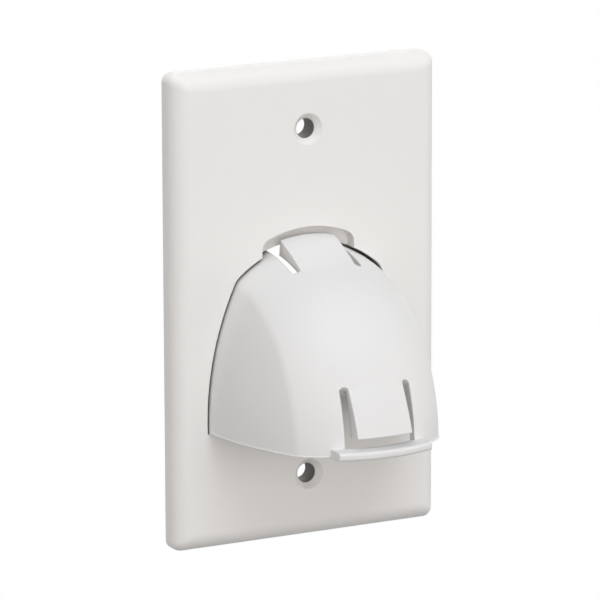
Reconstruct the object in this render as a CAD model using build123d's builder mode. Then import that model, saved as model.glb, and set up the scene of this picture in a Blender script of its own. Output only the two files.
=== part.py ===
# Angled cable wall plate.
#
# A one-gang cover plate with a dome-shaped hood in its lower half. Cables come out of the wall
# through the opening in the plate and leave the hood downwards, through its open underside.
#
# Frame: millimetres, +Z up, the front faces -Y. The plate's back rim lies on the wall, which is
# the plane y = 0, and the origin is the middle of that back face.
#
# The hood is a body of turning. Its bell-shaped section, wide at the feet and arched at the
# crown, is turned a quarter round a line across the wall, from straight up to straight forward.
# So every place on the hood is given by three values: x across, r out from that line, and the
# angle above the horizontal, which is 0 at the rim and 90 at the wall.
from build123d import *
from math import asin, atan2, cos, degrees, hypot, radians, sin, sqrt
import os

os.makedirs("parts", exist_ok=True)

# Plate
plate_width = 69.85
plate_height = 114.3
plate_depth = 6.5
front_round = 4.2
corner_round = 2.4
face_wall = 2.5
edge_wall = 2.2
hollow_round = 1.5

# Screw holes, on the standard spacing of a one-gang box
screw_spacing = 83.34
screw_hole = 4.6
screw_sink = 7.5
sink_angle = 82
boss_diameter = 10.0
boss_clear_of_wall = 0.1

# Bell section of the hood, measured out from the turning line
turn_line_z = -28.65
foot_half = 26.5
knee_half = 18.8
knee_reach = 35.8
crown_reach = 43.1
side_bulge = 2.3
knee_round = 4.5
hood_wall = 2.0
rim_round = 0.35
hood_clear_of_wall = 0.4

# Opening in the plate and what holds the hood in it
opening_gap = 0.35
foot_gap = 0.12
frame_wall = 1.8
frame_clear_of_wall = 1.7
flange_reach = 1.3
flange_gap = 0.1

# Sill under the opening, between the hood's two feet
sill_height = 5.95
sill_gap = 0.3
sill_round = 3.9
sill_clear_of_wall = 0.6
sill_back_round = 1.2

# Finger pocket over the opening
pocket_half = 12.15
pocket_top_z = 18.35
pocket_arch = 26.6
pocket_depth = 3.0
pocket_round = 3.0

# Tongue at the hood's top, between two slots
tongue_half = 7.15
tongue_slot = 2.0
tongue_slot_end_y = -16.2
tongue_root = 66.5
tongue_end_y = -6.0
tongue_rise = 2.5
tongue_lower = 1.2

# Tab at the hood's front, between two slots
tab_half = 7.1
tab_slot = 2.05
tab_slot_top_z = -12.5
tab_slot_slant = 35
tab_root = 22.0
tab_end_z = -23.95
tab_rise = 2.15
tab_lower = 1.2

# How late tongue and tab leave the crown: 1 is a straight rise, more is a softer start
finger_bend = 1.2

# Lip under the tab
lip_half = 12.2
lip_height = 2.0
lip_reach = 4.0
lip_root = 0.5
lip_round = 0.7

# Worked out from the sizes above
turn_line = Axis((0, 0, turn_line_z), (1, 0, 0))
side_chord = hypot(foot_half - knee_half, knee_reach)
side_radius = (side_chord**2 / 4 + side_bulge**2) / (2 * side_bulge)
side_centre_x = (foot_half + knee_half) / 2 - (side_radius - side_bulge) * knee_reach / side_chord
side_centre_r = knee_reach / 2 - (side_radius - side_bulge) * (foot_half - knee_half) / side_chord
crown_rise = crown_reach - knee_reach
crown_radius = (knee_half**2 + crown_rise**2) / (2 * crown_rise)
crown_centre = crown_reach - crown_radius
tongue_end = degrees(atan2(crown_reach + tongue_rise, -tongue_end_y))
tab_end = degrees(asin((tab_end_z - turn_line_z) / (crown_reach + tab_rise)))
tab_slot_y = sqrt(
    (crown_centre + sqrt(crown_radius**2 - tab_half**2)) ** 2 - (tab_slot_top_z - turn_line_z) ** 2
)
web_back = plate_depth - face_wall
cutter_start = knee_reach - hood_wall


def fan_plane(angle):
    """Plane through the turning line; its own y axis points out at this angle in degrees."""
    a = radians(angle)
    return Plane(origin=(0, 0, turn_line_z), x_dir=(1, 0, 0), z_dir=(0, -sin(a), -cos(a)))


def side_point(r, grow):
    """Half width of the bell at the distance r from the turning line, grown by grow."""
    return side_centre_x + sqrt((side_radius + grow) ** 2 - (r - side_centre_r) ** 2)


def crown_point(x, rise):
    """Distance out from the turning line of the crown at x, raised by rise."""
    return crown_centre + sqrt((crown_radius + rise) ** 2 - x**2)


def knee_point(grow):
    """Where the grown side arc and the grown crown arc of the bell cross."""
    side = side_radius + grow
    crown = crown_radius + grow
    gap_x = -side_centre_x
    gap_r = crown_centre - side_centre_r
    gap = hypot(gap_x, gap_r)
    along = (side**2 - crown**2 + gap**2) / (2 * gap)
    across = sqrt(side**2 - along**2)
    x = side_centre_x + (along * gap_x - across * gap_r) / gap
    r = side_centre_r + (along * gap_r + across * gap_x) / gap
    return x, r


def bell(grow=0.0, foot_drop=0.0, mode=Mode.ADD):
    """Bell section in an open sketch, grown outwards by grow, with its feet foot_drop lower."""
    knee_x, knee_r = knee_point(grow)
    foot_x = side_point(-foot_drop, grow)
    middle_r = (knee_r - foot_drop) / 2
    middle_x = side_point(middle_r, grow)
    with BuildSketch(mode=Mode.PRIVATE) as face:
        with BuildLine():
            ThreePointArc((foot_x, -foot_drop), (middle_x, middle_r), (knee_x, knee_r))
            ThreePointArc((knee_x, knee_r), (0, crown_point(0, grow)), (-knee_x, knee_r))
            ThreePointArc((-knee_x, knee_r), (-middle_x, middle_r), (-foot_x, -foot_drop))
            Line((-foot_x, -foot_drop), (foot_x, -foot_drop))
        make_face()
        fillet(face.vertices().group_by(Axis.Y)[-1], knee_round + grow)
    add(face.sketch, mode=mode)


def arch_band(half, rise, lower, up=1):
    """Piece of the crown's wall in an open sketch, from lower under its face to rise over it."""
    outer_end = crown_point(half, rise)
    inner_end = crown_point(half, -lower)
    with BuildLine() as edge:
        ThreePointArc(
            (-half, up * outer_end), (0, up * crown_point(0, rise)), (half, up * outer_end)
        )
        Line((half, up * outer_end), (half, up * inner_end))
        ThreePointArc(
            (half, up * inner_end), (0, up * crown_point(0, -lower)), (-half, up * inner_end)
        )
        Line((-half, up * inner_end), (-half, up * outer_end))
    make_face(edge.edges())


def raised_finger(root, end, half, rise, lower, steps=6):
    """Finger that grows out of the wall at the root angle and stands proud at its free end."""
    sections = []
    for i in range(steps + 1):
        along = i / steps
        with BuildSketch(fan_plane(root + (end - root) * along)) as section:
            arch_band(half, rise * along**finger_bend, lower)
        sections.append(section.sketch)
    loft(sections)


def crown_cut(low, high, half):
    """Cut the crown away between two angles, as wide as half on either side of the middle."""
    with BuildSketch(fan_plane(high)) as cutter:
        with Locations((0, cutter_start)):
            Rectangle(2 * half, crown_reach, align=(Align.CENTER, Align.MIN))
    revolve(cutter.sketch, axis=turn_line, revolution_arc=high - low, mode=Mode.SUBTRACT)


def slot_outline(width, length, way):
    """Slot in an open sketch: a round end at the open location, then straight along y."""
    with Locations((0, way * width / 2)):
        Circle(width / 2)
        Rectangle(width, length, align=(Align.CENTER, Align.MIN if way > 0 else Align.MAX))


def pocket_outline(grow=0.0):
    """Outline of the finger pocket in an open sketch, seen from the front, grown by grow."""
    half = pocket_half + grow
    arch = pocket_arch + grow
    end_z = pocket_top_z - pocket_arch + sqrt(arch**2 - half**2)
    low_z = turn_line_z + knee_reach
    with BuildSketch(mode=Mode.PRIVATE) as face:
        with BuildLine():
            ThreePointArc((half, end_z), (0, pocket_top_z + grow), (-half, end_z))
            Polyline((-half, end_z), (-half, low_z), (half, low_z), (half, end_z))
        make_face()
        fillet(face.vertices().group_by(Axis.Y)[-1], pocket_round + grow)
    add(face.sketch)


front_plane = Plane.XZ
line_plane = fan_plane(90)

with BuildPart() as wall_plate:
    with BuildSketch(front_plane):
        Rectangle(plate_width, plate_height)
    extrude(amount=plate_depth)
    fillet(wall_plate.faces().sort_by(Axis.Y)[0].edges(), front_round)
    fillet(wall_plate.edges().filter_by(Axis.Y), corner_round)

    # Hollow back
    with BuildSketch(front_plane):
        RectangleRounded(plate_width - 2 * edge_wall, plate_height - 2 * edge_wall, hollow_round)
    extrude(amount=web_back, mode=Mode.SUBTRACT)

    # Walls that stand behind the face: round the opening, round the pocket and at the screws
    with BuildSketch(line_plane.offset(frame_clear_of_wall)):
        bell(grow=opening_gap + frame_wall, foot_drop=foot_gap + frame_wall)
    extrude(amount=plate_depth - frame_clear_of_wall - face_wall / 2)
    with BuildSketch(front_plane.offset(frame_clear_of_wall)):
        pocket_outline(grow=frame_wall)
    extrude(amount=plate_depth - frame_clear_of_wall - face_wall / 2)
    with BuildSketch(front_plane.offset(boss_clear_of_wall)):
        with GridLocations(0, screw_spacing, 1, 2):
            Circle(boss_diameter / 2)
    extrude(amount=plate_depth - boss_clear_of_wall - face_wall / 2)

    # Finger pocket
    with BuildSketch(front_plane.offset(plate_depth - pocket_depth)):
        pocket_outline()
    extrude(amount=2 * pocket_depth, mode=Mode.SUBTRACT)

    # Opening, and the sill that fills its foot between the hood's feet
    sill_half = side_point(hypot(plate_depth, sill_height), -hood_wall) - sill_gap
    with BuildSketch(line_plane):
        bell(grow=opening_gap, foot_drop=foot_gap)
    extrude(amount=2 * plate_depth, mode=Mode.SUBTRACT)
    with BuildSketch(line_plane.offset(sill_clear_of_wall)):
        with Locations((0, sill_height)):
            Rectangle(
                2 * sill_half,
                sill_height + foot_gap + frame_wall,
                align=(Align.CENTER, Align.MAX),
            )
    extrude(amount=plate_depth - sill_clear_of_wall)
    top_of_sill = turn_line_z + sill_height
    sill_edges = wall_plate.edges().filter_by(Axis.X).filter_by_position(
        Axis.Z, top_of_sill - 0.01, top_of_sill + 0.01
    )
    fillet(sill_edges.sort_by(Axis.Y)[0], sill_round)
    sill_edges = wall_plate.edges().filter_by(Axis.X).filter_by_position(
        Axis.Z, top_of_sill - 0.01, top_of_sill + 0.01
    )
    fillet(sill_edges.sort_by(Axis.Y)[-1], sill_back_round)

    # Screw holes
    with Locations(front_plane.offset(plate_depth)):
        with GridLocations(0, screw_spacing, 1, 2):
            CounterSinkHole(screw_hole / 2, screw_sink / 2, plate_depth, sink_angle)
wall_plate.part.label = "wall_plate"
export_step(wall_plate.part, "parts/wall_plate.step")

with BuildPart() as cable_hood:
    # Shell: a quarter turn of the bell, hollow
    with BuildSketch(line_plane):
        bell()
    revolve(axis=turn_line, revolution_arc=90)
    rim_edges = cable_hood.faces().sort_by(Axis.Z)[0].edges().filter_by(Axis.X, reverse=True)
    fillet(rim_edges, rim_round)

    # Flange that lies behind the frame of the opening
    with BuildSketch(line_plane):
        bell(grow=opening_gap + flange_reach)
    extrude(amount=frame_clear_of_wall - flange_gap)
    with BuildSketch(line_plane):
        bell(grow=-hood_wall)
    revolve(axis=turn_line, revolution_arc=90, mode=Mode.SUBTRACT)

    # The back edge stays clear of the wall
    with BuildSketch(front_plane):
        Rectangle(4 * foot_half, 4 * crown_reach)
    extrude(amount=hood_clear_of_wall, mode=Mode.SUBTRACT)

    # Tongue: the crown is cut away behind its root, and a raised finger takes its place
    crown_cut(tongue_root, 100, tongue_half)
    with BuildSketch(Plane.XY.offset(turn_line_z + cutter_start)):
        for side in (-1, 1):
            with Locations((side * (tongue_half + tongue_slot / 2), tongue_slot_end_y)):
                slot_outline(tongue_slot, -tongue_slot_end_y, 1)
    extrude(amount=crown_reach, mode=Mode.SUBTRACT)
    raised_finger(tongue_root, tongue_end, tongue_half, tongue_rise, tongue_lower)

    # Tab: the same at the front, with the lip across the foot of its window
    crown_cut(-10, tab_root, tab_half)
    # Its slots are cut on a slant, so their upper ends show their walls
    slot_way = Vector(0, -cos(radians(tab_slot_slant)), sin(radians(tab_slot_slant)))
    with BuildSketch(front_plane.offset(tab_slot_y)):
        for side in (-1, 1):
            with Locations((side * (tab_half + tab_slot / 2), tab_slot_top_z)):
                slot_outline(tab_slot, crown_reach, -1)
    extrude(amount=4 * hood_wall, dir=slot_way, both=True, mode=Mode.SUBTRACT)
    raised_finger(tab_root, tab_end, tab_half, tab_rise, tab_lower)

    # Lip
    with BuildSketch(Plane.XY.offset(turn_line_z)):
        arch_band(lip_half, lip_reach, lip_root, -1)
    extrude(amount=lip_height)
    lip_edges = cable_hood.faces().sort_by(Axis.Y)[0].edges()
    fillet(lip_edges, lip_round)
cable_hood.part.label = "cable_hood"
export_step(cable_hood.part, "parts/cable_hood.step")
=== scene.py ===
# %% [markdown]
# The angled cable wall plate in white moulded plastic. The imported model gives the plate and its
# hood in metres, +Z up and the front facing -Y, and everything here is placed in that frame.
# The plate's box is kept, for placing the floor and the bead by it.

# %% Load the frame
from math import cos, radians, sin

import bpy
import numpy as np
from mathutils import Matrix, Vector


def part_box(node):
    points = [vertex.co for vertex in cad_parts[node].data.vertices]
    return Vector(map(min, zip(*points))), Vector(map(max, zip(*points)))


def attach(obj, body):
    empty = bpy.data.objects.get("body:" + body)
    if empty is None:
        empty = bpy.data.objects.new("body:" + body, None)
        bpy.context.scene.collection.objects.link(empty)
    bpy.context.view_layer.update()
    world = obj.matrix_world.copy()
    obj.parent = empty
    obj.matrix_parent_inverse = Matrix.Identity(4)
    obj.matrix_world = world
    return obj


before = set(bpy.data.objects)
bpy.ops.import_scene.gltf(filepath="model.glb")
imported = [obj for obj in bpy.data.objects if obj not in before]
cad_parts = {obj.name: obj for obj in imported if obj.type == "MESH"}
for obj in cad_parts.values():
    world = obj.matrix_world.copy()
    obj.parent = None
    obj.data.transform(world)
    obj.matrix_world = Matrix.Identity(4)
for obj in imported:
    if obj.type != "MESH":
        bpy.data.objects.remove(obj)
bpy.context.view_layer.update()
plate_low, plate_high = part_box("wall_plate")
plate_height = plate_high.z - plate_low.z
print("nodes:", sorted(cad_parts), "plate height:", round(plate_height * 1000, 2), "mm")

# %% [markdown]
# Shader maths reads best as sums and products. A small class wraps one socket and turns the
# Python operators into Math nodes, and a second one makes any other node from its type, its
# settings and its inputs. Numbers alone stay in Python and never become nodes.


# %% Shader maths as expressions
class Value:
    """One number that changes over a surface, with the operators that the finishes use."""

    def __init__(self, shader, socket):
        self.shader = shader
        self.socket = socket

    def maths(self, operation, *others, clamp=False):
        """A Math node of this operation on this value and the others."""
        inputs = dict(enumerate((self, *others)))
        settings = {"operation": operation, "use_clamp": clamp}
        return self.shader.node("ShaderNodeMath", settings, inputs)

    def __add__(self, other):
        return self.maths("ADD", other)

    def __sub__(self, other):
        return self.maths("SUBTRACT", other)

    def __mul__(self, other):
        return self.maths("MULTIPLY", other)

    def __rsub__(self, other):
        return self * -1 + other

    __radd__ = __add__
    __rmul__ = __mul__

    def clamped(self):
        """This value, held between 0 and 1."""
        return self.maths("ADD", 0.0, clamp=True)


class Shader:
    """The nodes of a material or world, made one at a time by one method."""

    def __init__(self, owner, output="ShaderNodeOutputMaterial"):
        owner.use_nodes = True
        self.owner = owner
        self.tree = owner.node_tree
        self.tree.nodes.clear()
        self.output = self.tree.nodes.new(output)

    def node(self, kind, settings=None, inputs=None, output=0):
        """A node of this kind: settings are set first, then inputs get values or links."""
        made = self.tree.nodes.new(kind)
        for key, value in (settings or {}).items():
            setattr(made, key, value)
        for key, value in (inputs or {}).items():
            if isinstance(value, Value):
                self.tree.links.new(value.socket, made.inputs[key])
            else:
                made.inputs[key].default_value = value
        return Value(self, made.outputs[output])

    def surface(self, value):
        """Makes this shader the surface of its material or world."""
        self.tree.links.new(value.socket, self.output.inputs["Surface"])
        return self.owner


print("shader helpers ready")

# %% [markdown]
# The plate and hood are moulded in the same white plastic. Close to, such a moulding isn't one
# flat colour: the tone drifts very slightly where the melt flowed and cooled, and a fine
# spark-eroded texture from the mould breaks up the shine. So three patterns of noise are used: a
# broad one for the tone, a mid-sized one for the sheen, and a very fine one for the bump.

# %% Patterns in the plastic
broad_size = 0.045
flow_size = 0.006
grain_size = 0.00035


def noise(plastic, place, size, detail, roughness=0.5):
    """Noise about its middle, from -0.5 to 0.5, whose lumps are about size metres wide."""
    inputs = {"Vector": place, "Scale": 1 / size, "Detail": detail, "Roughness": roughness}
    return plastic.node("ShaderNodeTexNoise", {"noise_dimensions": "3D"}, inputs) - 0.5


print("noise lumps in mm:", [size * 1000 for size in (broad_size, flow_size, grain_size)])

# %% [markdown]
# The slots, seams and hollow of the hood get painted shade: their colour is darkened where shade
# falls in them, so the inside of the hood looks nearly black through its slots. Two Ambient
# Occlusion nodes find them: one with a short reach finds seams, where walls stand close by on most
# sides, and one with a long reach finds the hollow of the hood. The two screw bores are found by
# their own place, round the plate's upright middle, and get painted shade too.

# %% Painted shade of narrow places
seam_width = 0.0015
seam_edge = 3.0
seam_shade = 0.75
hollow_width = 0.06
hollow_edge = 4.0
hollow_start = 0.04
screw_height = 0.04167
bore_edge = 0.00245
bore_blend = 0.000125
bore_shade = 0.85


def openness(plastic, reach):
    """Share of the directions, 0 to 1, in which nothing stands within reach."""
    settings = {"samples": 8}
    inputs = {"Distance": reach}
    return plastic.node("ShaderNodeAmbientOcclusion", settings, inputs, output="AO")


def screw_bore(plastic, place):
    """1 in the two bores and 0 outside: (bore edge - distance from the screw's axis) / blend."""
    x, z = (plastic.node("ShaderNodeSeparateXYZ", {}, {0: place}, output=axis) for axis in "XZ")
    over = z.maths("ABSOLUTE") - screw_height
    from_screw = (x * x + over * over).maths("SQRT")
    return ((bore_edge - from_screw) * (1 / bore_blend)).clamped()


def narrow_shade(plastic, place, hollow_shade):
    """Share of the tone taken off as painted shade in a narrow place: the largest of seam, bore and
    hollow.

    seam = 1 - seam edge x openness nearby, and hollow = 1 - hollow edge x (openness far out -
    hollow start), both held between 0 and 1 and then taken times their shade.
    """
    # Seam, bore and hollow are each painted shade: the colour is darkened where shade falls.
    seam = (1 - (openness(plastic, seam_width) * seam_edge).clamped()) * seam_shade
    dark = seam.maths("MAXIMUM", screw_bore(plastic, place) * bore_shade)
    if hollow_shade:
        hollow = 1 - ((openness(plastic, hollow_width) - hollow_start) * hollow_edge).clamped()
        dark = dark.maths("MAXIMUM", hollow * hollow_shade)
    return dark


print("seams under", seam_width * 1000, "mm, bores to", bore_edge * 1000, "mm from each screw")

# %% [markdown]
# The finish puts these together, with the painted shade taken off the colour. The colour is a touch
# warm, and the painted shade carries painted bounce light in that tone, so blue falls most there.
# A Bevel node rounds the look of each sharp edge, as a mould does, and the grain is laid over it by
# a Bump node.

# %% White moulded plastic
drift = 0.03
flow_share = 0.35
broad_sheen = 0.05
flow_sheen = 0.10
painted_bounce_warmth = (0.0, 0.05, 0.13)
edge_round = 0.0004
grain_height = 0.000004
flow_height = 2


def moulded_plastic(name, colour, gloss, hollow_shade=0.0):
    """White plastic: colour x (1 + drift x noise) x (1 - painted shade), with less blue in the
    painted shade.
    """
    plastic = Shader(bpy.data.materials.new(name))
    place = plastic.node("ShaderNodeTexCoord", output="Object")
    broad = noise(plastic, place, broad_size, 2.0)
    flow = noise(plastic, place, flow_size, 3.0)
    grain = noise(plastic, place, grain_size, 2.0, 0.6)
    # dark is painted shade, taken off the colour in seams, bores and the hood's hollow.
    dark = narrow_shade(plastic, place, hollow_shade)
    tone = (broad * drift + flow * (drift * flow_share) + 1) * (1 - dark)
    # Painted bounce light: in the painted shade green and blue fall, as light bounced in warm
    # plastic would tint it.
    shades = {channel: tone * (1 - dark * warmth) for channel, warmth in enumerate(painted_bounce_warmth)}
    grey = plastic.node("ShaderNodeCombineColor", {}, shades)
    multiply = {"data_type": "RGBA", "blend_type": "MULTIPLY"}
    tint = plastic.node("ShaderNodeMix", multiply, {0: 1.0, 6: (*colour, 1), 7: grey}, output=2)
    rounded = plastic.node("ShaderNodeBevel", {"samples": 8}, {"Radius": edge_round})
    relief = {"Distance": grain_height, "Height": grain + flow * flow_height, "Normal": rounded}
    skin = {
        "Base Color": tint,
        "Roughness": flow * flow_sheen + broad * broad_sheen + gloss,
        "Normal": plastic.node("ShaderNodeBump", {}, relief),
        "IOR": 1.5,
        "Specular IOR Level": 0.42,
    }
    return plastic.surface(plastic.node("ShaderNodeBsdfPrincipled", {}, skin))


def dress(node, material):
    """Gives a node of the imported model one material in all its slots."""
    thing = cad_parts[node]
    if not thing.material_slots:
        thing.data.materials.append(material)
    for slot in thing.material_slots:
        slot.material = material


# The plate's colour is set lighter than the hood's: painted light and shade on one plastic, with
# painted shade in the hood's hollow.
plate_white = moulded_plastic("plate_white", (0.818, 0.808, 0.782), 0.54)
hood_white = moulded_plastic("hood_white", (0.758, 0.754, 0.738), 0.52, hollow_shade=0.8)
dress("wall_plate", plate_white)
dress("cable_hood", hood_white)
print("dressed:", [m.name for m in bpy.data.materials])

# %% [markdown]
# A fine bead runs round the outer edge of the hood's rim, from the lip to each foot, and catches
# the light. It follows the rim itself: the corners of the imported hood's mesh where its outer
# wall ends in the small round of the rim, in front of the plate and beside the lip. The rim's
# round and half the lip's width are sizes of the model.

# %% Path of the hood's rim
rim_round = 0.00035
rim_band = (0.8 * rim_round, 1.1 * rim_round)
lip_half = 0.0122
lip_slack = 0.00002
least_step = 0.0002
bead_radius = 0.00024


def rim_path(side):
    """Points round the rim on this side, -1 or 1, from the lip to the foot at the plate."""
    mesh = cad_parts["cable_hood"].data
    corners = np.empty(3 * len(mesh.vertices), dtype=np.float32)
    mesh.vertices.foreach_get("co", corners)
    corners = corners.reshape(-1, 3).astype(float)
    x, y, z = corners.T
    over = z - z.min()
    outer_wall = (over > rim_band[0]) & (over < rim_band[1])
    beside_lip = side * x > lip_half - lip_slack
    path = corners[outer_wall & beside_lip & (y < plate_low.y)]
    path = path[np.argsort(path[:, 1])]
    path = path[np.append(True, np.diff(path[:, 1]) > least_step)]
    path = np.vstack([path, (path[-1, 0], plate_low.y, 0)])
    path[:, 2] = z.min() + bead_radius
    return path


paths = {"left": (-1, rim_path(-1)), "right": (1, rim_path(1))}
print("points on the rim:", {name: len(path) for name, (side, path) in paths.items()})

# %% [markdown]
# The bead is a tube, swept along that path as a grid of rings. At each point of the path one
# direction goes out from the hood and one goes up, and a ring is a small circle in those two. The
# tube is sunk a little into the wall, and its two ends are closed.

# %% Bead round the hood's rim
bead_sink = 0.00010
bead_sides = 12


def rim_bead(name, side, path):
    """Tube P(u, v) = path(u) + (radius cos v - sink) outward(u) + radius sin v upward."""
    along = np.gradient(path, axis=0)
    outward = np.column_stack([along[:, 1], -along[:, 0], np.zeros(len(path))]) * side
    outward /= np.linalg.norm(outward, axis=1, keepdims=True)
    v = np.linspace(0, 2 * np.pi, bead_sides, endpoint=False)
    out_part = (bead_radius * np.cos(v) - bead_sink)[None, :, None] * outward[:, None, :]
    up_part = (bead_radius * np.sin(v))[None, :, None] * np.array([0.0, 0.0, 1.0])
    points = (path[:, None, :] + out_part + up_part).reshape(-1, 3)

    ring = np.arange(bead_sides)
    start = bead_sides * np.arange(len(path))[:, None] + ring
    turned = np.roll(start, -1, axis=1)
    quads = np.stack([start[:-1], turned[:-1], turned[1:], start[1:]], axis=2).reshape(-1, 4)
    ends = [start[0, ::side].tolist(), start[-1, ::-side].tolist()]
    mesh = bpy.data.meshes.new(name)
    mesh.from_pydata(points.tolist(), [], quads[:, ::-side].tolist() + ends)
    mesh.shade_smooth()
    mesh.materials.append(hood_white)
    piece = bpy.data.objects.new(name, mesh)
    bpy.context.scene.collection.objects.link(piece)
    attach(piece, "root")
    return piece


beads = [rim_bead(f"rim_bead_{name}", side, path) for name, (side, path) in paths.items()]
print("rim beads:", [len(piece.data.vertices) for piece in beads], "corners")

# %% [markdown]
# The plate is shown as in a catalogue, lit softly all round with nothing near it. The floor is
# a pale sheet well below it, and the wall behind stands far back. Both show plain white to the
# camera and to reflections, but light the plate no more than a pale floor would.


# %% Floor, backdrop and world
def seen_white(shader, elsewhere, kind, socket):
    """Plain white where the camera or a mirror looks, and the shader elsewhere for all else."""
    path = shader.node("ShaderNodeLightPath").socket.node.outputs
    camera, glossy, through = (
        Value(shader, path[f"Is {ray} Ray"]) for ray in ("Camera", "Glossy", "Transmission")
    )
    white = shader.node(kind, {}, {"Color": (1, 1, 1, 1), socket: 1.0})
    seen = (camera + glossy + through).clamped()
    return shader.surface(shader.node("ShaderNodeMixShader", {}, {0: seen, 1: elsewhere, 2: white}))


def stage_material(name, tone):
    """Pale and matt to the light that falls on it, plain white to whoever looks."""
    stage = Shader(bpy.data.materials.new(name))
    matt = stage.node("ShaderNodeBsdfDiffuse", {}, {"Color": (tone, tone, tone, 1)})
    return seen_white(stage, matt, "ShaderNodeEmission", "Strength")


def sheet(name, centre, right, up, half):
    """A flat square: centre + s x right + t x up for s and t from -half to half."""
    signs = ((-1, -1), (1, -1), (1, 1), (-1, 1))
    corners = [tuple(centre + right * (s * half) + up * (t * half)) for s, t in signs]
    mesh = bpy.data.meshes.new(name)
    mesh.from_pydata(corners, [], [(0, 1, 2, 3)])
    mesh.materials.append(stage_material(name + "_white", stage_tone))
    thing = bpy.data.objects.new(name, mesh)
    bpy.context.scene.collection.objects.link(thing)
    return thing


across = Vector((1, 0, 0))
into = Vector((0, 1, 0))
upward = Vector((0, 0, 1))
floor_z = plate_low.z - 1.1 * plate_height
backdrop_y = 1.6
stage_half = 2.5
stage_tone = 0.25
floor = sheet("floor", upward * floor_z, across, into, stage_half)
backdrop = sheet("backdrop", into * backdrop_y, across, upward, stage_half)

world_strength = 0.08
sky = Shader(bpy.data.worlds.new("soft_daylight"), "ShaderNodeOutputWorld")
daylight = sky.node("ShaderNodeBackground", {}, {"Color": (1, 1, 1, 1), "Strength": world_strength})
bpy.context.scene.world = seen_white(sky, daylight, "ShaderNodeBackground", "Strength")
print("floor at", round(floor_z * 1000, 1), "mm, world strength", world_strength)

# %% [markdown]
# A white thing on white needs light from many sides, or one side of it goes grey. So the plate
# stands among soft panels, as in a light tent: the strongest above, others in front and at its
# two sides, and three behind it that draw its edges and light the hollow back. The light from
# above is a little cool and the rest a little warm, as the tones of the real one show. Each
# panel is given as azimuth, elevation, side in metres, power in watts and colour.


# %% Lamps
panel_distance = 1.2


def soft_lamp(name, azimuth, elevation, side, power, colour):
    """A square area lamp that looks at the plate from this direction, in the view's degrees."""
    a, e = radians(azimuth), radians(elevation)
    back = Vector((sin(a) * cos(e), -cos(a) * cos(e), sin(e)))
    light = bpy.data.lights.new(name, "AREA")
    light.shape = "SQUARE"
    light.size = side
    light.energy = power
    light.color = colour
    lamp = bpy.data.objects.new(name, light)
    lamp.location = back * panel_distance
    lamp.rotation_euler = (-back).to_track_quat("-Z", "Y").to_euler()
    bpy.context.scene.collection.objects.link(lamp)
    return lamp


cool = (0.92, 0.95, 1.0)
warm = (1.0, 0.955, 0.94)
panels = {
    "above": (10, 65, 1.0, 6.8, cool),
    "front_high": (-15, 42, 1.0, 3.4, cool),
    "front_left": (-45, 2, 0.8, 1.7, warm),
    "front_low": (-10, 2, 0.8, 5.2, warm),
    "front_right": (25, 2, 0.8, 1.4, warm),
    "left": (-85, 0, 0.8, 3.9, warm),
    "right": (70, 0, 0.8, 5.0, warm),
    "behind": (180, 55, 0.8, 5.5, warm),
    "behind_left": (-140, 15, 0.8, 2.2, warm),
    "behind_right": (140, 15, 0.8, 2.4, warm),
}
for name, panel in panels.items():
    soft_lamp(name, *panel)
print("panels:", list(panels))

# %% [markdown]
# The camera stands a little to the left of the plate and a little above it, with a long lens,
# so the plate's edges stay almost parallel. Its place comes from the plate's own corners and
# screw holes: with these values they fall where the picture of the real one has them.

# %% Camera
camera_azimuth = -27.8
camera_elevation = 12.8
camera_roll = -0.19
camera_distance = 1.235
camera_lens = 312.7
camera_target = Vector((0.00113, 0.0, -0.00073))


def place_camera():
    """Looks at the target from azimuth and elevation, turned by the roll about its own axis."""
    a, e = radians(camera_azimuth), radians(camera_elevation)
    back = Vector((sin(a) * cos(e), -cos(a) * cos(e), sin(e)))
    data = bpy.data.cameras.new("camera")
    data.lens = camera_lens
    data.sensor_width = 36.0
    data.clip_start = 0.05
    data.clip_end = 20.0
    camera = bpy.data.objects.new("camera", data)
    camera.location = camera_target + back * camera_distance
    facing = (-back).to_track_quat("-Z", "Y").to_matrix()
    camera.rotation_euler = (facing @ Matrix.Rotation(radians(camera_roll), 3, "Z")).to_euler()
    bpy.context.scene.collection.objects.link(camera)
    bpy.context.scene.camera = camera
    return camera


camera = place_camera()
bpy.context.scene.view_settings.view_transform = "Standard"
print("camera at", [round(v, 3) for v in camera.location], "lens", camera_lens)
